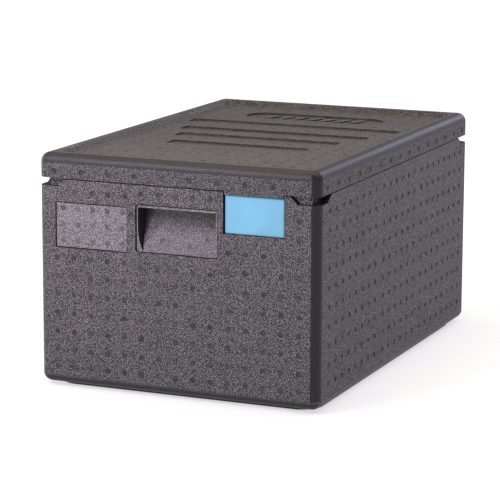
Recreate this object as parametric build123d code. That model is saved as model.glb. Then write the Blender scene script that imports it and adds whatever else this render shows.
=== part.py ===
"""Insulated food carrier for one full-size food pan, moulded from expanded polypropylene foam.

The frame: origin at the bottom centre, +Z up, the long side along Y. The end with the name tag
faces -Y. Every size is in millimetres.

The carrier is three pieces: a thick foam body, a foam lid that lifts off, and a plastic tag that is
pressed into a pocket in the front end.
"""

import os

from build123d import *

# Overall sizes.
WIDTH = 400.0
LENGTH = 600.0
HEIGHT = 316.0
LID_SIDE = 33.5
EDGE_RADIUS = 13.0
BASE_RADIUS = 12.5
LID_RADIUS = 12.5
SEAM_ROUND = 0.6

# Walls round the pan bay. The lid's plug hangs inside the tongue, to a little above the seam.
WALL = 31.0
FLOOR = 30.0
PLUG_RISE = 4.5
BAY_CORNER = 28.0
BAY_FLOOR_ROUND = 10.0

# Raised tongue round the bay, which the lid closes over.
TONGUE_INSET = 10.0
TONGUE_RISE = 8.0
TONGUE_CORNER = 6.0
TONGUE_ROUND = 1.5

# Finger notches under the lid at the four corners.
NOTCH_DROP = 10.0
NOTCH_ON_END = 30.0
NOTCH_ON_SIDE = 28.0
NOTCH_END_SLOPE = 10.0
NOTCH_SIDE_SLOPE = 14.0

# Foot under the body and recess in the lid, so that carriers stack.
FOOT_HEIGHT = 5.0
FOOT_ROUND = 1.5
RECESS_DEPTH = 6.5
RIM_INSET = 20.0
RECESS_SLOPE = 4.0
RECESS_CORNER = 14.0
RIM_ROUND = 2.5
RECESS_FLOOR_ROUND = 1.5

# Cross pockets in the lid panel: how far each one's far edge is from the panel's rear edge. The
# first is the widest, and each one after it is narrower by a step at both ends.
CROSS_POCKET_PLACES = (160.0, 233.0, 294.0, 361.0)
CROSS_POCKET_MARGIN = 16.0
CROSS_POCKET_STEP = 19.5
CROSS_POCKET_LENGTH = 30.0
CROSS_POCKET_DEPTH = 2.5
CROSS_POCKET_CORNER = 4.0

# Cartouche behind the pockets, with plain slanted bars. Its place is from the panel's rear edge.
CARTOUCHE_LENGTH = 214.0
CARTOUCHE_WIDTH = 58.0
CARTOUCHE_PLACE = 89.0
CARTOUCHE_DEPTH = 3.0
BAR_COUNT = 7
BAR_PITCH = 22.0
BAR_WIDTH = 9.0
BAR_LENGTH = 34.0
BAR_LEAN = 20.0
BAR_RISE = 2.0

# Hand grip in each end. Its drop is from the seam to its upper edge.
GRIP_X = 1.0
GRIP_WIDTH = 117.5
GRIP_HEIGHT = 64.5
GRIP_DROP = 25.2
GRIP_STEP = 2.0
GRIP_CORNER = 5.0
GRIP_BORDER = 3.0
GRIP_CEILING = 4.5
GRIP_DEPTH = 22.0
GRIP_UPRIGHT = 14.0
GRIP_NARROWING = 7.0
GRIP_NARROW_HEIGHT = 30.0
GRIP_DRAFT = 5.0

# Shallow panel for a label in each end, beside the grip.
LABEL_TO_GRIP = 11.75
LABEL_WIDTH = 105.5
LABEL_HEIGHT = 62.0
LABEL_DROP = 30.0
LABEL_DEPTH = 1.8
LABEL_CORNER = 2.0

# Plastic tag.
TAG_WIDTH = 82.5
TAG_HEIGHT = 50.5
TAG_THICK = 3.0
TAG_CORNER = 1.5
TAG_BEVEL = 1.0
PRONG_RADIUS = 3.0
PRONG_LENGTH = 12.0
PRONG_SPACING = 50.0
PRONG_TIP_BEVEL = 1.0

# Pocket for the tag in each end. It is open at the top, and a tab on the lid closes it.
POCKET_TO_GRIP = 7.25
TAG_SET_BACK = 3.0
TAB_DROP = 4.5

# Clearances.
SEAM_GAP = 0.8
TONGUE_GAP = 1.0
TONGUE_TOP_GAP = 0.5
STACK_GAP = 1.0
TAG_GAP = 0.4
TAG_SIDE_GAP = 1.5
PRONG_GAP = 0.3
TAB_GAP = 0.6

# What follows from the sizes above.
SEAM = HEIGHT - LID_SIDE
TONGUE_TOP = SEAM + TONGUE_RISE
TONGUE_WIDTH = WIDTH - 2 * TONGUE_INSET
TONGUE_LENGTH = LENGTH - 2 * TONGUE_INSET
BAY_WIDTH = WIDTH - 2 * WALL
BAY_LENGTH = LENGTH - 2 * WALL
LID_LOW = SEAM + SEAM_GAP
LID_UNDERSIDE = SEAM + PLUG_RISE
PANEL = HEIGHT - RECESS_DEPTH
PANEL_INSET = RIM_INSET + RECESS_SLOPE
PANEL_REAR = LENGTH / 2 - PANEL_INSET
FOOT_INSET = PANEL_INSET + STACK_GAP
GRIP_HIGH = SEAM - GRIP_DROP
GRIP_LOW = GRIP_HIGH - GRIP_HEIGHT
LABEL_X = GRIP_X - GRIP_WIDTH / 2 - LABEL_TO_GRIP - LABEL_WIDTH / 2
LABEL_MIDDLE = SEAM - LABEL_DROP - LABEL_HEIGHT / 2
POCKET_WIDTH = TAG_WIDTH + 2 * TAG_SIDE_GAP
POCKET_X = GRIP_X + GRIP_WIDTH / 2 + POCKET_TO_GRIP + POCKET_WIDTH / 2
POCKET_DEPTH = TAG_SET_BACK + TAG_THICK + TAG_GAP
TAB_LOW = LID_LOW - TAB_DROP
TAG_MIDDLE = TAB_LOW - TAB_GAP - TAG_HEIGHT / 2
POCKET_LOW = TAG_MIDDLE - TAG_HEIGHT / 2 - TAG_GAP
TAG_FACE_Y = -LENGTH / 2 + TAG_SET_BACK
TAG_BACK_Y = TAG_FACE_Y + TAG_THICK
OUTSIDE = 1.0  # how far a cutting tool starts outside the face that it cuts


def end_plane(y):
    """An upright plane that faces -Y, on which a sketch is drawn in X and Z."""
    return Plane(origin=(0, y, 0), x_dir=(1, 0, 0), z_dir=(0, -1, 0))


def block(width, length, low, high, corner):
    """An upright block with rounded vertical edges."""
    outline = RectangleRounded(width, length, corner)
    return Pos(0, 0, low) * extrude(outline, amount=high - low)


def edges_at(shape, height):
    """The edges of a shape that lie flat at one height."""
    return [
        edge
        for edge in shape.edges()
        if abs(edge.bounding_box().min.Z - height) < 0.01
        and abs(edge.bounding_box().max.Z - height) < 0.01
    ]


def into_end(outline, first_y, depth):
    """The solid that a sketch in X and Z sweeps into the front end, starting just outside it."""
    start = end_plane(first_y - OUTSIDE) * outline
    return extrude(start, amount=-(depth + OUTSIDE))


def at_both_ends(tool):
    """A cutting tool for the front end, and the same one turned round for the rear end."""
    return [tool, Rot(0, 0, 180) * tool]


def corner_notches():
    """The finger notches, which stop at the tongue."""
    floor = SEAM - NOTCH_DROP
    top = SEAM + OUTSIDE
    reach = TONGUE_INSET + TONGUE_CORNER
    on_end = Polygon(
        (WIDTH / 2 - NOTCH_ON_END, floor),
        (WIDTH / 2 + OUTSIDE, floor),
        (WIDTH / 2 + OUTSIDE, top),
        (WIDTH / 2 - NOTCH_ON_END - NOTCH_END_SLOPE * (1 + OUTSIDE / NOTCH_DROP), top),
        align=None,
    )
    on_side = Polygon(
        (LENGTH / 2 - NOTCH_ON_SIDE, floor),
        (LENGTH / 2 + OUTSIDE, floor),
        (LENGTH / 2 + OUTSIDE, top),
        (LENGTH / 2 - NOTCH_ON_SIDE - NOTCH_SIDE_SLOPE * (1 + OUTSIDE / NOTCH_DROP), top),
        align=None,
    )
    side_plane = Plane(origin=(WIDTH / 2 + OUTSIDE, 0, 0), x_dir=(0, 1, 0), z_dir=(1, 0, 0))
    end_cut = mirror(into_end(on_end, -LENGTH / 2, reach), Plane.XZ)
    side_cut = extrude(side_plane * on_side, amount=-(reach + OUTSIDE))
    one = end_cut + side_cut
    one -= block(TONGUE_WIDTH, TONGUE_LENGTH, floor - OUTSIDE, top + OUTSIDE, TONGUE_CORNER)
    across = mirror(one, Plane.YZ)
    return [one, across, mirror(one, Plane.XZ), mirror(across, Plane.XZ)]


def grip():
    """A hand grip: a shallow step, and a scoop that is deepest under its ceiling."""
    face = -LENGTH / 2
    outline = RectangleRounded(GRIP_WIDTH, GRIP_HEIGHT, GRIP_CORNER)
    step = into_end(Pos(GRIP_X, GRIP_HIGH - GRIP_HEIGHT / 2) * outline, face, GRIP_STEP)
    mouth_width = GRIP_WIDTH - 2 * GRIP_BORDER
    mouth_low = GRIP_LOW + GRIP_BORDER / 2
    mouth_high = GRIP_HIGH - GRIP_CEILING
    left = GRIP_X - mouth_width / 2
    right = GRIP_X + mouth_width / 2
    shoulder = mouth_low + GRIP_NARROW_HEIGHT
    bend = (GRIP_NARROWING**2 + GRIP_NARROW_HEIGHT**2) / (2 * GRIP_NARROWING)
    above = mouth_high + GRIP_CEILING
    mouth_lines = [
        Line((left, above), (left, shoulder)),
        RadiusArc((left, shoulder), (left + GRIP_NARROWING, mouth_low), -bend),
        Line((left + GRIP_NARROWING, mouth_low), (right - GRIP_NARROWING, mouth_low)),
        RadiusArc((right - GRIP_NARROWING, mouth_low), (right, shoulder), -bend),
        Line((right, shoulder), (right, above)),
        Line((right, above), (left, above)),
    ]
    mouth = make_face(mouth_lines)
    funnel = extrude(end_plane(face) * mouth, amount=-GRIP_DEPTH, taper=GRIP_DRAFT)
    # The scoop's section in Y and Z: up from the lower edge in a curve, and back out under a ceiling
    # that rises inwards, so that fingers hook over it.
    back = face + GRIP_DEPTH
    front = face - OUTSIDE
    section = make_face(
        [
            Line((front, mouth_low), (face + GRIP_STEP, mouth_low)),
            Spline(
                (face + GRIP_STEP, mouth_low),
                (back, mouth_high - GRIP_UPRIGHT),
                tangents=((1, 1), (0, 1)),
            ),
            Line((back, mouth_high - GRIP_UPRIGHT), (back, above)),
            Line((back, above), (face + GRIP_STEP, mouth_high)),
            Line((face + GRIP_STEP, mouth_high), (front, mouth_high)),
            Line((front, mouth_high), (front, mouth_low)),
        ]
    )
    cross = Plane(origin=(GRIP_X - GRIP_WIDTH / 2, 0, 0), x_dir=(0, 1, 0), z_dir=(1, 0, 0))
    scoop = extrude(cross * section, amount=GRIP_WIDTH) & funnel
    return [step, scoop]


def label_panel():
    """The shallow panel for a label."""
    outline = RectangleRounded(LABEL_WIDTH, LABEL_HEIGHT, LABEL_CORNER)
    return into_end(Pos(LABEL_X, LABEL_MIDDLE) * outline, -LENGTH / 2, LABEL_DEPTH)


def prong_places():
    """Where the tag's two prongs are, in X and Z."""
    return [
        (POCKET_X - PRONG_SPACING / 2, TAG_MIDDLE),
        (POCKET_X + PRONG_SPACING / 2, TAG_MIDDLE),
    ]


def tag_pocket():
    """The pocket for the tag, with two holes for its prongs."""
    height = SEAM + OUTSIDE - POCKET_LOW
    outline = Pos(POCKET_X, POCKET_LOW + height / 2) * Rectangle(POCKET_WIDTH, height)
    tools = [into_end(outline, -LENGTH / 2, POCKET_DEPTH)]
    for x, z in prong_places():
        hole = Pos(x, z) * Circle(PRONG_RADIUS + PRONG_GAP)
        tools.append(into_end(hole, -LENGTH / 2, POCKET_DEPTH + PRONG_LENGTH + TAG_GAP))
    return tools


def body_shell():
    """The foam body with its foot, bay, tongue, notches, grips and pockets."""
    body = block(WIDTH, LENGTH, FOOT_HEIGHT, SEAM, EDGE_RADIUS)
    body = fillet(edges_at(body, FOOT_HEIGHT), BASE_RADIUS)
    body = fillet(edges_at(body, SEAM), SEAM_ROUND)
    foot = block(
        WIDTH - 2 * FOOT_INSET, LENGTH - 2 * FOOT_INSET, 0, FOOT_HEIGHT + OUTSIDE, RECESS_CORNER
    )
    foot = fillet(edges_at(foot, 0), FOOT_ROUND)
    tongue = block(TONGUE_WIDTH, TONGUE_LENGTH, SEAM - OUTSIDE, TONGUE_TOP, TONGUE_CORNER)
    tongue = fillet(edges_at(tongue, TONGUE_TOP), TONGUE_ROUND)
    bay = block(BAY_WIDTH, BAY_LENGTH, FLOOR, TONGUE_TOP + OUTSIDE, BAY_CORNER)
    bay = fillet(edges_at(bay, FLOOR), BAY_FLOOR_ROUND)
    body = body + foot + tongue - bay
    tools = corner_notches()
    for tool in grip() + [label_panel()] + tag_pocket():
        tools += at_both_ends(tool)
    for tool in tools:
        body -= tool
    return body


def lid_tab():
    """The tab under the lid's edge that closes the top of a tag pocket."""
    height = TAB_DROP + SEAM_ROUND
    outline = Pos(POCKET_X, TAB_LOW + height / 2) * Rectangle(TAG_WIDTH, height)
    return extrude(end_plane(-LENGTH / 2) * outline, amount=-(POCKET_DEPTH - TAB_GAP))


def cartouche():
    """The cutting tool for the cartouche, which leaves its slanted bars standing."""
    middle = Pos(0, PANEL_REAR - CARTOUCHE_PLACE, PANEL - CARTOUCHE_DEPTH)
    outline = SlotOverall(CARTOUCHE_LENGTH, CARTOUCHE_WIDTH)
    pocket = extrude(middle * outline, amount=CARTOUCHE_DEPTH + OUTSIDE)
    bar = Rot(0, 0, -BAR_LEAN) * RectangleRounded(BAR_WIDTH, BAR_LENGTH, BAR_WIDTH / 2 - 0.1)
    for place in GridLocations(BAR_PITCH, 0, BAR_COUNT, 1):
        pocket -= middle * place * extrude(bar, amount=BAR_RISE)
    return pocket


def lid_shell():
    """The foam lid with its stacking recess, panel relief, groove for the tongue and two tabs."""
    lid = block(WIDTH, LENGTH, LID_LOW, HEIGHT, EDGE_RADIUS)
    lid = fillet(edges_at(lid, HEIGHT), LID_RADIUS)
    lid = fillet(edges_at(lid, LID_LOW), SEAM_ROUND)
    rim_width = WIDTH - 2 * RIM_INSET
    rim_length = LENGTH - 2 * RIM_INSET
    mouth = Pos(0, 0, HEIGHT) * RectangleRounded(rim_width, rim_length, RECESS_CORNER)
    floor = Pos(0, 0, PANEL) * RectangleRounded(
        rim_width - 2 * RECESS_SLOPE, rim_length - 2 * RECESS_SLOPE, RECESS_CORNER - RECESS_SLOPE
    )
    lid -= loft([floor, mouth], ruled=True)
    rim_edges = [e for e in edges_at(lid, HEIGHT) if abs(e.center().X) <= rim_width / 2 + 0.1]
    rim_edges = [e for e in rim_edges if abs(e.center().Y) <= rim_length / 2 + 0.1]
    lid = fillet(rim_edges, RIM_ROUND)
    lid = fillet(edges_at(lid, PANEL), RECESS_FLOOR_ROUND)
    for index, place in enumerate(CROSS_POCKET_PLACES):
        half_width = WIDTH / 2 - PANEL_INSET - CROSS_POCKET_MARGIN - index * CROSS_POCKET_STEP
        outline = RectangleRounded(2 * half_width, CROSS_POCKET_LENGTH, CROSS_POCKET_CORNER)
        middle = PANEL_REAR - place - CROSS_POCKET_LENGTH / 2
        tool = Pos(0, middle, PANEL - CROSS_POCKET_DEPTH) * outline
        lid -= extrude(tool, amount=CROSS_POCKET_DEPTH + OUTSIDE)
    lid -= cartouche()
    groove = block(
        TONGUE_WIDTH + 2 * TONGUE_GAP,
        TONGUE_LENGTH + 2 * TONGUE_GAP,
        LID_LOW - OUTSIDE,
        TONGUE_TOP + TONGUE_TOP_GAP,
        TONGUE_CORNER + TONGUE_GAP,
    )
    plug = block(
        BAY_WIDTH - 2 * TONGUE_GAP,
        BAY_LENGTH - 2 * TONGUE_GAP,
        LID_UNDERSIDE,
        TONGUE_TOP + TONGUE_TOP_GAP,
        BAY_CORNER - TONGUE_GAP,
    )
    lid = lid - groove + plug
    for tab in at_both_ends(lid_tab()):
        lid += tab
    return lid


def id_tag():
    """The plastic tag: a plate with a bevelled face, and two prongs behind it."""
    outline = Pos(POCKET_X, TAG_MIDDLE) * RectangleRounded(TAG_WIDTH, TAG_HEIGHT, TAG_CORNER)
    plate = extrude(end_plane(TAG_FACE_Y) * outline, amount=-TAG_THICK)
    front_edges = [e for e in plate.edges() if e.bounding_box().max.Y < TAG_FACE_Y + 0.01]
    tag = chamfer(front_edges, TAG_BEVEL)
    for x, z in prong_places():
        prong = extrude(end_plane(TAG_BACK_Y) * Pos(x, z) * Circle(PRONG_RADIUS), amount=-PRONG_LENGTH)
        tip = [e for e in prong.edges() if e.bounding_box().min.Y > TAG_BACK_Y + PRONG_LENGTH - 0.01]
        tag += chamfer(tip, PRONG_TIP_BEVEL)
    return tag


os.makedirs("parts", exist_ok=True)
for name, make in (("body_shell", body_shell), ("lid_shell", lid_shell), ("id_tag", id_tag)):
    export_step(make(), f"parts/{name}.step")
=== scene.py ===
"""Insulated food carrier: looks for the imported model, laid out as a Blender add-on.

Two thick foam mouldings, a body and a lift-off lid, and a blue name tag pressed into the front end.
Lengths are in metres unless a name ends in _MM. The end with the tag faces -Y.
"""

import math

import bmesh
import bpy
from bpy.props import FloatProperty, FloatVectorProperty, PointerProperty
from mathutils import Matrix, Vector
from mathutils.bvhtree import BVHTree


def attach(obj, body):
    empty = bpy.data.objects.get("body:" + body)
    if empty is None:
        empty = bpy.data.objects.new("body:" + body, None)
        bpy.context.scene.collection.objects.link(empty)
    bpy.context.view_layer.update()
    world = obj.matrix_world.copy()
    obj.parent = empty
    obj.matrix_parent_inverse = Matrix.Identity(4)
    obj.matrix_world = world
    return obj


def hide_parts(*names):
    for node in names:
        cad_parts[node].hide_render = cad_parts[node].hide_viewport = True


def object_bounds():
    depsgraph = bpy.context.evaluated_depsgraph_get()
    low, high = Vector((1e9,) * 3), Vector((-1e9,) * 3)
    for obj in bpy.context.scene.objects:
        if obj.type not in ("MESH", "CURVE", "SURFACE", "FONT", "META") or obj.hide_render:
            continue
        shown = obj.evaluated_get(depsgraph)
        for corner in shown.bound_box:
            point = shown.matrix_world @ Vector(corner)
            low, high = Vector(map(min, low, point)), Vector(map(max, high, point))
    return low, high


bl_info = {
    "name": "Insulated Food Carrier",
    "version": (1, 0, 0),
    "blender": (4, 5, 0),
    "location": "3D View > Sidebar > Carrier",
    "description": "Foam body and lid with vent marks, a name tag, and a studio stage",
    "category": "Object",
}

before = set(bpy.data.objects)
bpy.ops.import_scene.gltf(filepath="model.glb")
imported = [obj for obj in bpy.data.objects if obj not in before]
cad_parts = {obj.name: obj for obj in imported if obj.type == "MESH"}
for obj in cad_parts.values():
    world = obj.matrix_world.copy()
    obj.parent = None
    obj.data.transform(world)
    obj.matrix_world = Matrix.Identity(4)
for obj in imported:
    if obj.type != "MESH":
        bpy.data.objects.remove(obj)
CAD_LOW, CAD_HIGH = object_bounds()

MM = 0.001

# Half of the outline, across (X) and along (Y), and heights of the seam, the lid's panel and its top.
HALF_WIDTH_MM = 200.0
HALF_LENGTH_MM = 300.0
SEAM_MM = 282.5
PANEL_MM = 309.5
TOP_MM = 316.0
EDGE_ROUND_MM = 13.0
FOOT_RISE_MM = 5.0

# The front end's features: left, right, lower and upper side of each, across (X) and up (Z).
LABEL_MM = (-175.0, -69.5, 190.5, 252.5)
GRIP_MM = (-57.75, 59.75, 192.8, 257.3)
POCKET_MM = (67.0, 152.5, 227.3, 282.5)

# Depths: of the label panel, of the step round the grip, a bound that every recess of the ends stays
# within, and the same for the finger notches, with how far these drop below the seam.
LABEL_DEPTH_MM = 1.8
GRIP_STEP_MM = 2.0
RECESS_MM = 23.0
NOTCH_MM = 12.0
NOTCH_DROP_MM = 10.0

# The grip's floor fades into shade beside its left wall over this width, in strips this wide.
GRIP_SHADE_MM = 22.0
GRIP_STRIP_MM = 3.0
GRIP_STRIPS = 6

# Grooves round the tool inserts, and how far a cutter stands out of the face that it cuts.
GROOVE_MM = 1.5
CUTTER_RISE_MM = 0.5

# The floor's painted shadow under the carrier, a patch where it does not glow: how far its rounded
# corners' middles stand inside the outline, across and along, and their radius. The glow then rises
# over this distance.
SHADE_INSET_MM = (42.0, 50.0)
SHADE_CORNER_MM = 30.0
GLOW_RISE_MM = 900.0
FLOOR_HALF = 12.0

# A vent mark keeps a core this share as wide as the mark. One that faces up is this share as deep.
CORE_SHARE = 0.12
UPWARD_MARK_SHARE = 0.5

# How far a face leans before it belongs wholly to an upright edge or to the rounding of the base.
EDGE_TILT = 0.02
BASE_TILT = 0.4

# Tones of the foam, as shares of its colour. A grain's crown is 1, and the line round it is darker.
LINE_TONE = 0.07
SMOOTH_TONE = 0.20
# Painted shade: the dark tone of the smooth upright edges, the base's rounding and the foot.
EDGE_SHADE_TONE = 0.12
TORN_TONES = (0.10, 0.21)
LABEL_TONE = 1.9
LABEL_SMOOTHNESS = 0.4
# Painted shade and light in the grip's scoop: darker at the top, lighter at the bottom.
GRIP_LIGHT_SHADE_TONES = (0.70, 1.75)
# Painted shade in the seam, in the corner notches, on the side walls of the pockets and on the walls
# and top of the grips.
GAP_SHADE_TONE = 0.16
# Painted light: the faces inside the corner notches that look along the carrier are lightened.
NOTCH_LIGHT_TONE = 2.4
PANEL_MARK_TONE = 1.9
END_MARK_TONE = 1.8
# Painted shade on the walls of the relief on the lid's top panel.
RELIEF_WALL_SHADE_TONE = 0.7
BAR_TONE = 1.5
ROUNDING_SMOOTHNESS = 0.6
# Painted shade: the dark tone of the rounded edge round the lid's top.
ROUNDING_SHADE_TONE = 0.36
LID_TONE = 0.84


def linear(code):
    """Linear RGBA of an sRGB hex value such as "88c4ea"."""
    channels = [int(code[i : i + 2], 16) / 255 for i in (0, 2, 4)]
    return [c / 12.92 if c <= 0.04045 else ((c + 0.055) / 1.055) ** 2.4 for c in channels] + [1.0]


# ---------------------------------------------------------------- settings


class FoamSettings(bpy.types.PropertyGroup):
    """Sizes and colours of the foam."""

    colour: FloatVectorProperty(
        name="Foam colour", description="Charcoal of the moulded foam", subtype="COLOR",
        size=3, min=0.0, max=1.0, default=linear("b4adb1")[:3],
    )
    # The real skin's grains are about 1 mm. They are drawn at 1.6 mm, so that they show.
    grain: FloatProperty(
        name="Grain size", description="Width of one raised grain of the foam's skin", unit="LENGTH",
        default=1.6 * MM, min=1 * MM, max=8 * MM,
    )
    vent_width: FloatProperty(
        name="Vent mark width", description="Width of the round mark that a steam vent leaves",
        unit="LENGTH", default=7.4 * MM, min=3 * MM, max=12 * MM,
    )
    vent_depth: FloatProperty(
        name="Vent mark depth", description="How deep a vent mark is", unit="LENGTH",
        default=0.5 * MM, min=0.1 * MM, max=2 * MM,
    )


class TagSettings(bpy.types.PropertyGroup):
    """Colour of the name tag."""

    colour: FloatVectorProperty(
        name="Tag colour", description="Colour of the moulded name tag", subtype="COLOR",
        size=3, min=0.0, max=1.0, default=linear("6aa5c0")[:3],
    )


class StageSettings(bpy.types.PropertyGroup):
    """Light and floor of the studio."""

    horizon: FloatProperty(
        name="Horizon", description="Strength of the white surround, low down", default=0.8, min=0.0
    )
    sky: FloatProperty(
        name="Sky", description="Strength of the white surround, high up", default=0.2, min=0.0
    )
    glow: FloatProperty(
        name="Floor glow", description="How brightly the floor is lit from below", default=0.92,
        min=0.0,
    )
    glow_near: FloatProperty(
        name="Near glow", description="The floor's glow beside the carrier", default=0.62, min=0.0
    )
    top: FloatProperty(
        name="Top light", description="Power of the warm light above", unit="POWER", default=26.0,
        min=0.0,
    )
    front: FloatProperty(
        name="Front light", description="Power of the light close before the front end", unit="POWER",
        default=8.6, min=0.0,
    )
    fill: FloatProperty(
        name="Fill light", description="Power of the low light before the front end", unit="POWER",
        default=1.5, min=0.0,
    )
    side: FloatProperty(
        name="Side light", description="Power of the cool light on the right", unit="POWER",
        default=22.0, min=0.0,
    )
    rim: FloatProperty(
        name="Rim light", description="Power of the cool light on the left", unit="POWER", default=18.0,
        min=0.0,
    )
    back: FloatProperty(
        name="Back light", description="Power of the cool light behind the rear end", unit="POWER",
        default=16.0, min=0.0,
    )


# ---------------------------------------------------------------- materials


def add(tree, kind, settings=None, **inputs):
    """Adds a shader node, sets its properties, and fills or links its inputs by name."""
    made = tree.nodes.new(kind)
    for key, value in (settings or {}).items():
        setattr(made, key, value)
    for key, value in inputs.items():
        place = int(key[1:]) if key[0] == "i" and key[1:].isdigit() else key.replace("_", " ")
        socket = made.inputs[place]
        if isinstance(value, bpy.types.NodeSocket):
            tree.links.new(value, socket)
        else:
            socket.default_value = value
    return made


def new_material(name):
    """An empty node material with its output, and the output's surface socket."""
    material = bpy.data.materials.new(name)
    material.use_nodes = True
    material.node_tree.nodes.clear()
    out = material.node_tree.nodes.new("ShaderNodeOutputMaterial")
    return material, material.node_tree, out.inputs["Surface"]


def moulded_epp_foam(name, colour, grain):
    """Expanded polypropylene, steam moulded in an aluminium tool.

    The eye sees a skin of raised grains, each with a lighter crown and a dark line round it, in
    slightly different greys. Rounded edges are smooth, and the dark tone on some of them is painted
    shade; the recessed panels of the ends are paler, and narrow gaps are painted nearly black, a
    painted shade. The face attribute "tone" carries these tones and the other painted light and shade.
    """
    material, tree, surface = new_material(name)
    where = add(tree, "ShaderNodeTexCoord").outputs["Object"]
    smooth = add(tree, "ShaderNodeAttribute", {"attribute_name": "smooth"}).outputs["Fac"]
    tone = add(tree, "ShaderNodeAttribute", {"attribute_name": "tone"}).outputs["Fac"]
    cells = add(tree, "ShaderNodeTexVoronoi", Vector=where, Scale=1 / grain, Randomness=0.85)
    # The tool's own texture is about 0.4 mm. It is drawn at 1.2 mm, so that it shows.
    texture = add(tree, "ShaderNodeTexNoise", Vector=where, Scale=1 / (1.2 * MM), Detail=1.0)
    cloud = add(tree, "ShaderNodeTexNoise", Vector=where, Scale=1 / (60 * MM), Detail=2.0)
    shade = add(tree, "ShaderNodeSeparateColor", Color=cells.outputs["Color"])

    crown = add(
        tree, "ShaderNodeMapRange", Value=cells.outputs["Distance"],
        From_Min=0.05, From_Max=0.56, To_Min=1.0, To_Max=LINE_TONE,
    )
    grey = add(tree, "ShaderNodeMapRange", Value=shade.outputs["Red"], To_Min=0.65)
    mottle = add(
        tree, "ShaderNodeMapRange", Value=texture.outputs["Fac"],
        From_Min=0.30, From_Max=0.70, To_Min=0.60,
    )
    speckle = add(
        tree, "ShaderNodeMath", {"operation": "MULTIPLY"}, i0=crown.outputs[0], i1=grey.outputs[0]
    )
    speckle = add(
        tree, "ShaderNodeMath", {"operation": "MULTIPLY"}, i0=speckle.outputs[0], i1=mottle.outputs[0]
    )
    skin = add(tree, "ShaderNodeMix", Factor=smooth, i2=speckle.outputs[0], i3=SMOOTH_TONE)
    patch = add(
        tree, "ShaderNodeMapRange", Value=cloud.outputs["Fac"],
        From_Min=0.3, From_Max=0.7, To_Min=0.90,
    )
    level = add(
        tree, "ShaderNodeMath", {"operation": "MULTIPLY"}, i0=skin.outputs[0], i1=patch.outputs[0]
    )
    level = add(tree, "ShaderNodeMath", {"operation": "MULTIPLY"}, i0=level.outputs[0], i1=tone)
    base = add(
        tree, "ShaderNodeVectorMath", {"operation": "SCALE"}, i0=colour, Scale=level.outputs[0]
    )

    rough = add(
        tree, "ShaderNodeMapRange", Value=texture.outputs["Fac"],
        From_Min=0.35, From_Max=0.65, To_Min=0.50, To_Max=0.72,
    )
    rough = add(
        tree, "ShaderNodeMath", {"operation": "MULTIPLY_ADD"}, i0=smooth, i1=-0.16, i2=rough.outputs[0]
    )
    dome = add(
        tree, "ShaderNodeMapRange", Value=cells.outputs["Distance"],
        From_Min=0.1, From_Max=0.9, To_Min=1.0, To_Max=0.0,
    )
    height = add(
        tree, "ShaderNodeMath", {"operation": "MULTIPLY_ADD"},
        i0=texture.outputs["Fac"], i1=0.6, i2=dome.outputs[0],
    )
    strength = add(tree, "ShaderNodeMath", {"operation": "MULTIPLY_ADD"}, i0=smooth, i1=-0.45, i2=0.6)
    bump = add(
        tree, "ShaderNodeBump", Strength=strength.outputs[0], Distance=0.35 * MM,
        Height=height.outputs[0],
    )
    shader = add(
        tree, "ShaderNodeBsdfPrincipled", Base_Color=base.outputs[0], Roughness=rough.outputs[0],
        Normal=bump.outputs["Normal"], IOR=1.49, Specular_IOR_Level=0.3,
    )
    tree.links.new(shader.outputs["BSDF"], surface)
    return material


def torn_epp_foam(name, colour):
    """The same foam where a steam vent or the line round a tool insert has left it open.

    The eye sees a rough, nearly black spot with a faint texture.
    """
    material, tree, surface = new_material(name)
    where = add(tree, "ShaderNodeTexCoord").outputs["Object"]
    tone = add(tree, "ShaderNodeAttribute", {"attribute_name": "tone"}).outputs["Fac"]
    texture = add(tree, "ShaderNodeTexNoise", Vector=where, Scale=1 / (1.5 * MM), Detail=2.0)
    cloud = add(tree, "ShaderNodeTexNoise", Vector=where, Scale=1 / (16 * MM), Detail=1.0)
    mottle = add(
        tree, "ShaderNodeMapRange", Value=texture.outputs["Fac"],
        From_Min=0.3, From_Max=0.7, To_Min=TORN_TONES[0], To_Max=TORN_TONES[1],
    )
    patch = add(
        tree, "ShaderNodeMapRange", Value=cloud.outputs["Fac"],
        From_Min=0.35, From_Max=0.65, To_Min=0.55,
    )
    level = add(
        tree, "ShaderNodeMath", {"operation": "MULTIPLY"}, i0=mottle.outputs[0], i1=patch.outputs[0]
    )
    level = add(tree, "ShaderNodeMath", {"operation": "MULTIPLY"}, i0=level.outputs[0], i1=tone)
    base = add(
        tree, "ShaderNodeVectorMath", {"operation": "SCALE"}, i0=colour, Scale=level.outputs[0]
    )
    bump = add(
        tree, "ShaderNodeBump", Strength=0.5, Distance=0.3 * MM, Height=texture.outputs["Fac"]
    )
    shader = add(
        tree, "ShaderNodeBsdfPrincipled", Base_Color=base.outputs[0], Roughness=0.85,
        Normal=bump.outputs["Normal"], IOR=1.49, Specular_IOR_Level=0.15,
    )
    tree.links.new(shader.outputs["BSDF"], surface)
    return material


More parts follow.
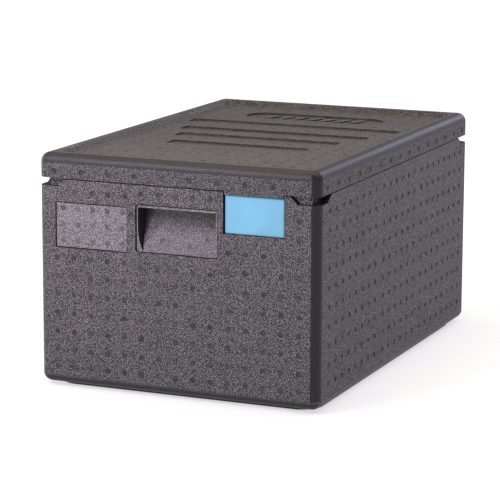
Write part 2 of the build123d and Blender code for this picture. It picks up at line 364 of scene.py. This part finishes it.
def moulded_polypropylene(name, colour):
    """Polypropylene, injection moulded with a fine satin texture.

    The eye sees an even colour with a soft shine.
    """
    material, tree, surface = new_material(name)
    where = add(tree, "ShaderNodeTexCoord").outputs["Object"]
    # Spark-eroded texture is about 0.1 mm. It is drawn at 0.8 mm, so that it shows.
    texture = add(tree, "ShaderNodeTexNoise", Vector=where, Scale=1 / (0.8 * MM), Detail=2.0)
    flow = add(tree, "ShaderNodeTexNoise", Vector=where, Scale=1 / (30 * MM), Detail=2.0)
    shade = add(
        tree, "ShaderNodeMapRange", Value=flow.outputs["Fac"],
        From_Min=0.3, From_Max=0.7, To_Min=0.95, To_Max=1.04,
    )
    base = add(
        tree, "ShaderNodeVectorMath", {"operation": "SCALE"}, i0=colour, Scale=shade.outputs[0]
    )
    rough = add(
        tree, "ShaderNodeMapRange", Value=texture.outputs["Fac"],
        From_Min=0.3, From_Max=0.7, To_Min=0.36, To_Max=0.50,
    )
    bump = add(
        tree, "ShaderNodeBump", Strength=0.15, Distance=0.05 * MM, Height=texture.outputs["Fac"]
    )
    shader = add(
        tree, "ShaderNodeBsdfPrincipled", Base_Color=base.outputs[0], Roughness=rough.outputs[0],
        Normal=bump.outputs["Normal"], IOR=1.49,
    )
    tree.links.new(shader.outputs["BSDF"], surface)
    return material


def acrylic_light_table(name, near, far):
    """A white floor that glows by itself, like a light table: matte, with a faint mottle.

    It glows a little less near the carrier, where the studio lights fall, and not at all under it,
    a painted shadow there.
    """
    material, tree, surface = new_material(name)
    where = add(tree, "ShaderNodeTexCoord").outputs["Object"]
    flow = add(tree, "ShaderNodeTexNoise", Vector=where, Scale=3.0, Detail=2.0)
    shade = add(tree, "ShaderNodeMapRange", Value=flow.outputs["Fac"], To_Min=0.34, To_Max=0.36)
    across = add(tree, "ShaderNodeVectorMath", {"operation": "ABSOLUTE"}, i0=where)
    beyond = add(
        tree, "ShaderNodeVectorMath", {"operation": "SUBTRACT"}, i0=across.outputs[0],
        i1=(CAD_HIGH.x - SHADE_INSET_MM[0] * MM, CAD_HIGH.y - SHADE_INSET_MM[1] * MM, 0.0),
    )
    outward = add(tree, "ShaderNodeVectorMath", {"operation": "MAXIMUM"}, i0=beyond.outputs[0])
    gap = add(tree, "ShaderNodeVectorMath", {"operation": "LENGTH"}, i0=outward.outputs[0])
    # Painted shadow: no glow on the patch under the carrier.
    clear = add(
        tree, "ShaderNodeMapRange", Value=gap.outputs["Value"],
        From_Min=(SHADE_CORNER_MM - 2) * MM, From_Max=SHADE_CORNER_MM * MM,
    )
    glow = add(
        tree, "ShaderNodeMapRange", Value=gap.outputs["Value"],
        From_Min=0.0, From_Max=GLOW_RISE_MM * MM, To_Min=near, To_Max=far,
    )
    lit = add(
        tree, "ShaderNodeMath", {"operation": "MULTIPLY"}, i0=clear.outputs[0], i1=glow.outputs[0]
    )
    shader = add(
        tree, "ShaderNodeBsdfPrincipled", Base_Color=shade.outputs[0], Roughness=0.9,
        Emission_Color=(1.0, 1.0, 1.0, 1.0), Emission_Strength=lit.outputs[0], Specular_IOR_Level=0.2,
    )
    tree.links.new(shader.outputs["BSDF"], surface)
    return material


# ---------------------------------------------------------------- foam pieces


def closed_mesh(node):
    """A bmesh of a CAD node with its doubled corners joined, so that it is closed."""
    made = bmesh.new()
    made.from_mesh(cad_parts[node].data)
    bmesh.ops.remove_doubles(made, verts=made.verts, dist=0.001 * MM)
    return made


def steps(first, pitch, count):
    """Evenly spaced places."""
    return [first + pitch * i for i in range(count)]


def within(x, z, area, margin=0.0):
    """Whether a place on an end is in one of its features."""
    return area[0] - margin < x < area[1] + margin and area[2] - margin < z < area[3] + margin


def end_vents():
    """Places of the vent marks on an end, in millimetres across and up. The marks keep clear of the
    label panel, the grip and the pocket, and have rows of their own above, between and inside them."""
    places = []
    for x in steps(-172.9, 24.7, 15):
        for z in [29.3] + steps(52.3, 25.0, 9):
            if abs(x) < 55 and z > 170:
                z -= 5.0
            if not any(within(x, z, area, 6.0) for area in (LABEL_MM, GRIP_MM, POCKET_MM)):
                if z < 182 or x > 160 or (x > 70 and z < 215):
                    places.append((x, z))
    places += [(x, 265.8) for x in steps(-146.0, 24.7, 4)]
    places += [(x, 270.8) for x in steps(-49.0, 24.7, 5)]
    places += [(x, z) for x in steps(-163.3, 21.5, 5) for z in steps(200.9, 21.7, 3)]
    places += [(-37.0, 226.0), (-24.0, 208.0), (16.0, 204.0)]
    places += [(38.0, 214.0), (42.0, 232.0), (-8.0, 238.0)]
    places.append((-63.6, 243.3))
    return places


def side_vents():
    """Places of the vent marks on a long side, in millimetres along and up."""
    along = steps(12.2, 24.4, 3) + steps(93.0, 24.4, 8)
    return [(s * y, z) for y in along for s in (-1, 1) for z in steps(35.3, 25.1, 10)]


def body_vents():
    """A ray for each vent mark on the body: where it starts and which way it looks."""
    rays = []
    for x, z in end_vents():
        rays.append(((x, -400, z), (0, 1, 0)))
        rays.append(((-x, 400, z), (0, -1, 0)))
    for y, z in side_vents():
        rays.append(((400, y, z), (-1, 0, 0)))
        rays.append(((-400, y, z), (1, 0, 0)))
    for x in steps(-162.5, 25.0, 14):
        for y in steps(-262.5, 25.0, 22):
            rays.append(((x, y, -50), (0, 0, 1)))
    for x in steps(-125.0, 50.0, 6):
        for y in steps(-225.0, 50.0, 10):
            rays.append(((x, y, 200), (0, 0, -1)))
    for z in steps(80.0, 50.0, 4):
        for y in steps(-225.0, 50.0, 10):
            rays.append(((0, y, z), (1, 0, 0)))
            rays.append(((0, y, z), (-1, 0, 0)))
        for x in steps(-125.0, 50.0, 6):
            rays.append(((x, 0, z), (0, 1, 0)))
            rays.append(((x, 0, z), (0, -1, 0)))
    return rays


def lid_vents():
    """A ray for each vent mark on the lid."""
    rays = []
    middle = SEAM_MM + 10.5
    for x in steps(-175.5, 39.0, 10):
        rays.append(((x, -400, middle), (0, 1, 0)))
        rays.append(((-x, 400, middle), (0, -1, 0)))
    for y in steps(-273.0, 39.0, 15):
        rays.append(((400, y, middle), (-1, 0, 0)))
        rays.append(((-400, y, middle), (1, 0, 0)))
    for x in steps(-162.5, 25.0, 14):
        for y in steps(-262.5, 25.0, 22):
            rays.append(((x, y, 400), (0, 0, -1)))
    for x in steps(-125.0, 50.0, 6):
        for y in steps(-225.0, 50.0, 10):
            rays.append(((x, y, 200), (0, 0, 1)))
    return rays


def vent_place(tree, start, way, radius):
    """Where a ray meets the foam and the face's normal there, or None if the mark would not lie on
    one smooth face."""
    start, way = Vector(start) * MM, Vector(way)
    spot, normal, _, _ = tree.ray_cast(start, way)
    if spot is None:
        return None
    side = normal.orthogonal().normalized()
    for turn in range(8):
        arm = Matrix.Rotation(turn * math.pi / 4, 3, normal) @ side * (radius * 1.25)
        hit, other, _, _ = tree.ray_cast(spot + arm + normal * 5 * MM, -normal)
        if hit is None or abs((hit - spot).dot(normal)) > 0.6 * MM or other.dot(normal) < 0.9:
            return None
    return spot, normal


def circle(radius, count=16):
    """Corners of a circle."""
    turn = 2 * math.pi / count
    return [(radius * math.cos(i * turn), radius * math.sin(i * turn)) for i in range(count)]


def rounded_outline(width, height, radius, arc=4):
    """Corners of a rectangle with rounded corners, anticlockwise."""
    corners = []
    for quarter, (x, y) in enumerate(((1, 1), (-1, 1), (-1, -1), (1, -1))):
        for i in range(arc + 1):
            angle = math.pi / 2 * (quarter + i / arc)
            across = x * (width / 2 - radius) + radius * math.cos(angle)
            up = y * (height / 2 - radius) + radius * math.sin(angle)
            corners.append((across, up))
    return corners


def add_ring(made, spot, normal, outer, inner, above, below):
    """Adds a closed ring to a bmesh, between two outlines that lie across a normal: a cutter."""
    across = Vector((0, 0, 1)).cross(normal)
    across = across.normalized() if across.length > 0.1 else Vector((1, 0, 0))
    up = normal.cross(across)
    loops = []
    for outline, height in ((outer, above), (outer, -below), (inner, -below), (inner, above)):
        loops.append([made.verts.new(spot + x * across + y * up + height * normal) for x, y in outline])
    count = len(outer)
    for this, following in zip(loops, loops[1:] + loops[:1]):
        for i in range(count):
            j = (i + 1) % count
            face = made.faces.new((this[i], following[i], following[j], this[j]))
            face.material_index = 1


def insert_lines():
    """Outlines of the tool inserts round the label panels and the grips, where the mould leaves a
    thin groove: middle, outward normal, and width, height and corner radius, in millimetres."""
    lines = []
    for turn in (1, -1):
        for area, corner, depth in ((LABEL_MM, 2.0, LABEL_DEPTH_MM), (GRIP_MM, 5.0, GRIP_STEP_MM)):
            left, right, low, high = area
            across, up = (left + right) / 2 * turn, (low + high) / 2
            middle = Vector((across, (depth - HALF_LENGTH_MM) * turn, up))
            size = (right - left - 0.1, high - low - 0.1, corner)
            lines.append((middle, Vector((0, -turn, 0)), size))
    return lines


def smooth_normals(piece, angle=28.0):
    """Smooth shading with sharp edges kept, weighted so that flat faces stay flat."""
    mesh = piece.data
    mesh.polygons.foreach_set("use_smooth", [True] * len(mesh.polygons))
    mesh.set_sharp_from_angle(angle=math.radians(angle))
    weighted = piece.modifiers.new("Weighted normals", "WEIGHTED_NORMAL")
    weighted.keep_sharp = True
    weighted.mode = "FACE_AREA"
    weighted.weight = 100


def write_faces(mesh, name, rule):
    """Stores a number on each face. The rule takes the face's middle in millimetres, its normal and
    whether it is torn open."""
    values = [rule(face.center / MM, face.normal, face.material_index == 1) for face in mesh.polygons]
    mesh.attributes.new(name, "FLOAT", "FACE").data.foreach_set("value", values)


def edge_skin_and_shade_share(middle, normal):
    """How far a face belongs to the smooth roundings of the outside, from 0 to 1: the foot, the lower
    side of the base's rounding and one diagonal pair of upright edges, whose dark tone is painted
    shade on a smooth skin. The upright edge on the label's side of each end is as light as the end
    itself."""
    if 0.1 < middle.z < FOOT_RISE_MM - 0.1:
        return 1.0
    if middle.z < FOOT_RISE_MM + EDGE_ROUND_MM and max(abs(middle.x), abs(middle.y) - 100) > 180:
        return min(1.0, max(0.0, -normal.z) / BASE_TILT)
    across, along = HALF_WIDTH_MM - abs(middle.x), HALF_LENGTH_MM - abs(middle.y)
    if across > EDGE_ROUND_MM or along > EDGE_ROUND_MM:
        return 0.0
    tilt = 1 - max(abs(normal.x), abs(normal.y), abs(normal.z))
    return min(1.0, tilt / EDGE_TILT) if middle.x * middle.y < 0 else 0.0


def is_lid_rounding(middle, normal):
    """Whether a face is on the rounded edge round the lid's top."""
    inset = min(HALF_WIDTH_MM - abs(middle.x), HALF_LENGTH_MM - abs(middle.y))
    outside = inset < EDGE_ROUND_MM
    return outside and TOP_MM - EDGE_ROUND_MM < middle.z < TOP_MM and 0.02 < normal.z < 0.999


def is_in_notch(middle):
    """Whether a face is inside one of the finger notches at the corners."""
    at_corner = abs(middle.x) > 150 and abs(middle.y) > 250
    depth = min(HALF_LENGTH_MM - abs(middle.y), HALF_WIDTH_MM - abs(middle.x))
    return at_corner and 0.3 < depth < NOTCH_MM and SEAM_MM - NOTCH_DROP_MM - 0.5 < middle.z < SEAM_MM


def place_on_end(middle):
    """A face's place across either end, as on the front one, and its depth into that end."""
    return (-middle.x if middle.y > 0 else middle.x), HALF_LENGTH_MM - abs(middle.y)


def smoothness_of(middle, normal, torn):
    """How little of its grain a face shows: 1 is none, as on the dark upright edges."""
    x, depth = place_on_end(middle)
    edge = edge_skin_and_shade_share(middle, normal)
    if edge > 0 and not torn:
        return edge
    if is_lid_rounding(middle, normal) and not torn:
        return ROUNDING_SMOOTHNESS
    if depth < RECESS_MM and (within(x, middle.z, LABEL_MM) or within(x, middle.z, GRIP_MM)):
        return LABEL_SMOOTHNESS if depth > 1 else 0.0
    return 0.0


def tone_of(middle, normal, torn):
    """How light a face is against the plain outside. Panels are paler and vent marks have tones of
    their own; the roundings, gaps, notch, pocket, grip and relief walls get painted shade, and the
    notch faces along the carrier and the grip's lower part get painted light.
    """
    x, depth = place_on_end(middle)
    if torn:
        if normal.z > 0.9 and middle.z > SEAM_MM:
            return PANEL_MARK_TONE
        marks = within(x, middle.z, LABEL_MM, -3.0) or within(x, middle.z, GRIP_MM, -3.0)
        return END_MARK_TONE if marks and depth < RECESS_MM + 1 else 1.0
    edge = edge_skin_and_shade_share(middle, normal)
    # Painted shade on the smooth roundings of the outside.
    if edge > 0:
        return 1.0 + edge * (EDGE_SHADE_TONE - 1.0)
    # Painted shade on the rounded edge round the lid's top.
    if is_lid_rounding(middle, normal):
        return ROUNDING_SHADE_TONE
    if middle.z > PANEL_MM - 3.1 and abs(middle.x) < 170 and abs(middle.y) < 270:
        if normal.z > 0.9:
            return BAR_TONE if PANEL_MM - 1.2 < middle.z < PANEL_MM - 0.5 else 1.0
        # Painted shade on the relief's walls.
        return RELIEF_WALL_SHADE_TONE if middle.z < PANEL_MM else 1.0
    inset = min(depth, HALF_WIDTH_MM - abs(middle.x))
    if inset < 0.05:
        return 1.0
    # Painted shade on the faces beside the seam between body and lid.
    if abs(middle.z - SEAM_MM - 0.4) < 1.2 and inset < 9:
        return GAP_SHADE_TONE
    # Painted light on the notch faces that look along the carrier, painted shade on the rest of the
    # notch.
    if is_in_notch(middle):
        return NOTCH_LIGHT_TONE if abs(normal.y) > 0.9 else GAP_SHADE_TONE
    # Painted shade on the side walls of the pockets.
    if within(x, middle.z, POCKET_MM, 0.1) and 0.3 < depth < RECESS_MM and abs(normal.x) > 0.5:
        return GAP_SHADE_TONE
    if within(x, middle.z, LABEL_MM, 0.2) and 1 < depth < 3:
        return LABEL_TONE
    if within(x, middle.z, GRIP_MM, 0.2) and 1 < depth < RECESS_MM:
        # Painted shade on the grip's side walls and its top.
        if abs(normal.x) > 0.8 or normal.z < -0.5:
            return GAP_SHADE_TONE
        if depth < GRIP_STEP_MM + 0.1:
            return LABEL_TONE
        # Painted shade and light: the scoop darkens towards its top and fades into shade beside its
        # left wall, and is lighter towards the bottom.
        down = (GRIP_MM[3] - middle.z) / (GRIP_MM[3] - GRIP_MM[2])
        clear = (x - GRIP_MM[0]) / (GRIP_SHADE_MM * (1.0 - down) + 1.0)
        tone = GRIP_LIGHT_SHADE_TONES[0] + down * (GRIP_LIGHT_SHADE_TONES[1] - GRIP_LIGHT_SHADE_TONES[0])
        return tone * min(1.0, clear ** 2)
    return 1.0


def split_grip_floors(made):
    """Divides the grips' floors into upright strips beside their left walls, so that they can fade
    into shade there. The shape stays as it is."""
    for turn in (1, -1):
        for x in steps(GRIP_MM[0] + GRIP_STRIP_MM, GRIP_STRIP_MM, GRIP_STRIPS):
            floors = []
            for face in made.faces:
                middle = face.calc_center_median() / MM
                across, depth = place_on_end(middle)
                in_grip = within(across, middle.z, GRIP_MM) and 1 < depth < RECESS_MM + 2
                if middle.y * turn < 0 and in_grip:
                    floors.append(face)
            edges = dict.fromkeys(edge for face in floors for edge in face.edges)
            corners = dict.fromkeys(corner for face in floors for corner in face.verts)
            bmesh.ops.bisect_plane(
                made, geom=[*floors, *edges, *corners], dist=0.001 * MM,
                plane_co=(x * turn * MM, 0, 0), plane_no=(1, 0, 0),
            )


def copy_of_node(name, node, with_grips):
    """A plain mesh of a CAD node's shape, and the tree that finds its faces."""
    source = closed_mesh(node)
    if with_grips:
        split_grip_floors(source)
    tree = BVHTree.FromBMesh(source)
    mesh = bpy.data.meshes.new(name)
    source.to_mesh(mesh)
    source.free()
    unwanted = [a for a in mesh.attributes if a.name in ("custom_normal", "sharp_edge", "sharp_face")]
    for attribute in unwanted:
        mesh.attributes.remove(attribute)
    return mesh, tree


def mark_cutter(tree, vents, lines, foam):
    """An object whose rings cut the vent marks and the insert lines."""
    radius = foam.vent_width / 2
    rise = CUTTER_RISE_MM * MM
    rings = bmesh.new()
    for start, way in vents:
        found = vent_place(tree, start, way, radius)
        if found:
            depth = foam.vent_depth * (UPWARD_MARK_SHARE if found[1].z > 0.9 else 1.0)
            add_ring(rings, *found, circle(radius), circle(radius * CORE_SHARE), rise, depth)
    for middle, normal, (width, height, corner) in lines:
        outer, inner = (
            [Vector(c) * MM for c in rounded_outline(width - 2 * cut, height - 2 * cut, corner - cut)]
            for cut in (0.0, GROOVE_MM)
        )
        add_ring(rings, middle * MM, normal, outer, inner, rise, GROOVE_MM * MM)
    bmesh.ops.recalc_face_normals(rings, faces=rings.faces)
    mesh = bpy.data.meshes.new("vent_cutter")
    rings.to_mesh(mesh)
    rings.free()
    cutter = bpy.data.objects.new("vent_cutter", mesh)
    bpy.context.scene.collection.objects.link(cutter)
    return cutter


def cut_away(piece, cutter):
    """Takes the cutter's shape out of a piece, and keeps the result as its mesh."""
    cut = piece.modifiers.new("Vent marks", "BOOLEAN")
    cut.operation = "DIFFERENCE"
    cut.solver = "MANIFOLD"
    cut.object = cutter
    bpy.context.view_layer.update()
    evaluated = piece.evaluated_get(bpy.context.evaluated_depsgraph_get())
    result = bpy.data.meshes.new_from_object(evaluated)
    if len(result.polygons) <= len(piece.data.polygons):
        raise RuntimeError(f"the vent marks were not cut into {piece.name}")
    piece.modifiers.clear()
    piece.data = result
    bpy.data.objects.remove(cutter)


def foam_piece(name, node, body, vents, lines=(), shade=1.0):
    """A foam moulding: the CAD node's shape with vent marks and insert lines cut into it."""
    foam = bpy.context.scene.carrier_foam
    mesh, tree = copy_of_node(name, node, with_grips=bool(lines))
    piece = bpy.data.objects.new(name, mesh)
    bpy.context.scene.collection.objects.link(piece)
    cutter = mark_cutter(tree, vents, lines, foam)
    colour = tuple(c * shade for c in foam.colour)
    mesh.materials.clear()
    materials = (
        moulded_epp_foam(f"moulded_epp_foam_{name}", colour, foam.grain),
        torn_epp_foam(f"torn_epp_foam_{name}", colour),
    )
    for owner in (mesh, cutter.data):
        for material in materials:
            owner.materials.append(material)
    mesh.polygons.foreach_set("material_index", [0] * len(mesh.polygons))
    cut_away(piece, cutter)
    write_faces(piece.data, "smooth", smoothness_of)
    write_faces(piece.data, "tone", tone_of)
    smooth_normals(piece)
    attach(piece, body)
    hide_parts(node)


# ---------------------------------------------------------------- operators


class CARRIER_OT_body(bpy.types.Operator):
    """Make the foam body with its vent marks"""

    bl_idname = "carrier.body"
    bl_label = "Foam body"

    def execute(self, context):
        foam_piece("foam_body", "body_shell", "carrier", body_vents(), insert_lines())
        return {"FINISHED"}


class CARRIER_OT_lid(bpy.types.Operator):
    """Make the foam lid with its vent marks"""

    bl_idname = "carrier.lid"
    bl_label = "Foam lid"

    def execute(self, context):
        foam_piece("foam_lid", "lid_shell", "lid", lid_vents(), shade=LID_TONE)
        return {"FINISHED"}


class CARRIER_OT_tag(bpy.types.Operator):
    """Give the name tag its moulded plastic finish"""

    bl_idname = "carrier.tag"
    bl_label = "Name tag"

    def execute(self, context):
        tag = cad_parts["id_tag"]
        colour = tuple(context.scene.carrier_tag.colour)
        material = moulded_polypropylene("moulded_polypropylene", colour)
        tag.data.materials.clear()
        tag.data.materials.append(material)
        return {"FINISHED"}


def area_light(name, power, size, place, target, colour):
    """A soft box that looks at a point."""
    light = bpy.data.lights.new(name, "AREA")
    light.shape = "RECTANGLE"
    light.size, light.size_y = size
    light.energy = power
    light.color = linear(colour)[:3]
    holder = bpy.data.objects.new(name, light)
    bpy.context.scene.collection.objects.link(holder)
    holder.location = place
    holder.visible_camera = False
    way = Vector(target) - Vector(place)
    holder.rotation_mode = "QUATERNION"
    holder.rotation_quaternion = way.to_track_quat("-Z", "Y")


def white_surround(low, high):
    """A world that is white along the horizon and dimmer overhead."""
    world = bpy.data.worlds.new("white_surround")
    world.use_nodes = True
    tree = world.node_tree
    tree.nodes.clear()
    way = add(tree, "ShaderNodeTexCoord").outputs["Generated"]
    rise = add(tree, "ShaderNodeSeparateXYZ", Vector=way).outputs["Z"]
    strength = add(
        tree, "ShaderNodeMapRange", Value=rise, From_Min=0.18, From_Max=0.45, To_Min=low, To_Max=high
    )
    shine = add(
        tree, "ShaderNodeBackground", Color=linear("f3f5ff"), Strength=strength.outputs[0]
    )
    add(tree, "ShaderNodeOutputWorld", Surface=shine.outputs["Background"])
    return world


def studio_camera():
    """A long lens that looks slightly down at the front end and the right side."""
    azimuth, elevation, roll = (math.radians(a) for a in (23.12, 11.37, 0.21))
    target = Vector((-0.0197, -0.0079, 0.1457))
    distance = 3.295
    back = Vector((
        math.sin(azimuth) * math.cos(elevation),
        -math.cos(azimuth) * math.cos(elevation),
        math.sin(elevation),
    ))
    right = Vector((math.cos(azimuth), math.sin(azimuth), 0.0))
    up = back.cross(right)
    right, up = (
        math.cos(roll) * right + math.sin(roll) * up,
        math.cos(roll) * up - math.sin(roll) * right,
    )
    data = bpy.data.cameras.new("studio_camera")
    data.sensor_width = 36.0
    data.lens = 167.55
    data.clip_end = 50.0
    camera = bpy.data.objects.new("studio_camera", data)
    bpy.context.scene.collection.objects.link(camera)
    turn = Matrix((right, up, back)).transposed().to_4x4()
    camera.matrix_world = Matrix.Translation(target + back * distance) @ turn
    bpy.context.scene.camera = camera


class CARRIER_OT_stage(bpy.types.Operator):
    """Make the floor, the soft studio light and the camera"""

    bl_idname = "carrier.stage"
    bl_label = "Studio stage"

    def execute(self, context):
        settings = context.scene.carrier_stage
        mesh = bpy.data.meshes.new("studio_floor")
        corners = [
            (x * FLOOR_HALF, y * FLOOR_HALF, CAD_LOW.z) for x, y in ((-1, -1), (1, -1), (1, 1), (-1, 1))
        ]
        mesh.from_pydata(corners, [], [(0, 1, 2, 3)])
        material = acrylic_light_table("acrylic_light_table", settings.glow_near, settings.glow)
        mesh.materials.append(material)
        floor = bpy.data.objects.new("studio_floor", mesh)
        context.scene.collection.objects.link(floor)
        context.scene.world = white_surround(settings.horizon, settings.sky)
        # Each light: its name (its power is the setting of that name), size, place, target and colour.
        for name, size, place, target, colour in (
            ("top", (1.4, 1.4), (0.1, 0.1, 1.9), (0, 0, 0.2), "f8ee94"),
            ("front", (0.5, 0.3), (-0.3, -0.85, 0.75), (-0.05, -0.3, 0.2), "f8ecff"),
            ("fill", (1.2, 0.7), (-0.5, -2.2, 0.7), (0, -0.3, 0.15), "f3e4ff"),
            ("side", (1.4, 0.8), (1.5, 0.0, 1.9), (0.2, 0, 0.2), "b6a8ff"),
            ("rim", (1.6, 0.8), (-1.9, 0.2, 0.6), (-0.2, -0.3, 0.2), "dfe6ff"),
            ("back", (0.8, 0.8), (0.7, 2.6, 1.25), (0.15, 0, 0.3), "e4e2ff"),
        ):
            area_light(f"{name}_light", getattr(settings, name), size, place, target, colour)
        context.scene.view_settings.view_transform = "Standard"
        studio_camera()
        return {"FINISHED"}


class CARRIER_PT_panel(bpy.types.Panel):
    """Food carrier tools"""

    bl_idname = "CARRIER_PT_panel"
    bl_label = "Food carrier"
    bl_space_type = "VIEW_3D"
    bl_region_type = "UI"
    bl_category = "Carrier"

    def draw(self, context):
        scene = context.scene
        groups = (
            (scene.carrier_foam, ("colour", "grain", "vent_width", "vent_depth")),
            (scene.carrier_tag, ("colour",)),
            (scene.carrier_stage, ("horizon", "sky", "glow", "glow_near")),
            (scene.carrier_stage, ("top", "front", "fill", "side", "rim", "back")),
        )
        for settings, names in groups:
            for name in names:
                self.layout.prop(settings, name)
        for operator in OPERATORS:
            self.layout.operator(operator.bl_idname)


OPERATORS = (CARRIER_OT_body, CARRIER_OT_lid, CARRIER_OT_tag, CARRIER_OT_stage)
SETTINGS = {"carrier_foam": FoamSettings, "carrier_tag": TagSettings, "carrier_stage": StageSettings}


def register():
    for cls in (*SETTINGS.values(), *OPERATORS, CARRIER_PT_panel):
        bpy.utils.register_class(cls)
    for name, cls in SETTINGS.items():
        setattr(bpy.types.Scene, name, PointerProperty(type=cls))


def unregister():
    for name in SETTINGS:
        delattr(bpy.types.Scene, name)
    for cls in reversed((*SETTINGS.values(), *OPERATORS, CARRIER_PT_panel)):
        bpy.utils.unregister_class(cls)


def main():
    register()
    bpy.ops.carrier.body()
    bpy.ops.carrier.lid()
    bpy.ops.carrier.tag()
    bpy.ops.carrier.stage()


if __name__ == "__main__":
    main()
